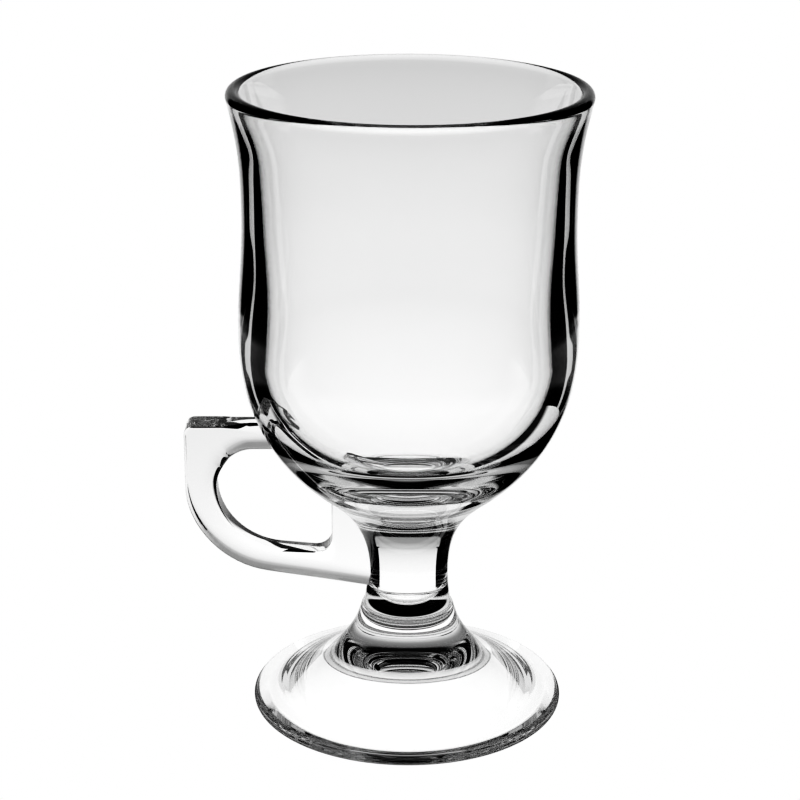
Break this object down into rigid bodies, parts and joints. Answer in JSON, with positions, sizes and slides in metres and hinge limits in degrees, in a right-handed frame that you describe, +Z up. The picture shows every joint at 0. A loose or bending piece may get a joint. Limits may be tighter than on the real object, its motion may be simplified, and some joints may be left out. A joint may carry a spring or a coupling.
{
  "type": "footed glass coffee mug",
  "caption": "Footed glass mug for hot coffee with cream, with a waisted heavy bowl, a short solid stem, a flared foot and a flat pressed handle.",
  "frame": {"origin": "centre of the foot on the table", "axes": "+Z up along the axis of the bowl, stem and foot; the handle points to -X; +Y is square to the handle's flat sides"},
  "size_m": [0.0874, 0.077, 0.1403],
  "materials": {
    "clear_glass": "fire-polished pressed glass"
  },
  "bodies": {
    "root": {"bowl": "clear_glass", "stem": "clear_glass", "foot": "clear_glass", "handle": "clear_glass"}
  },
  "joints": []
}
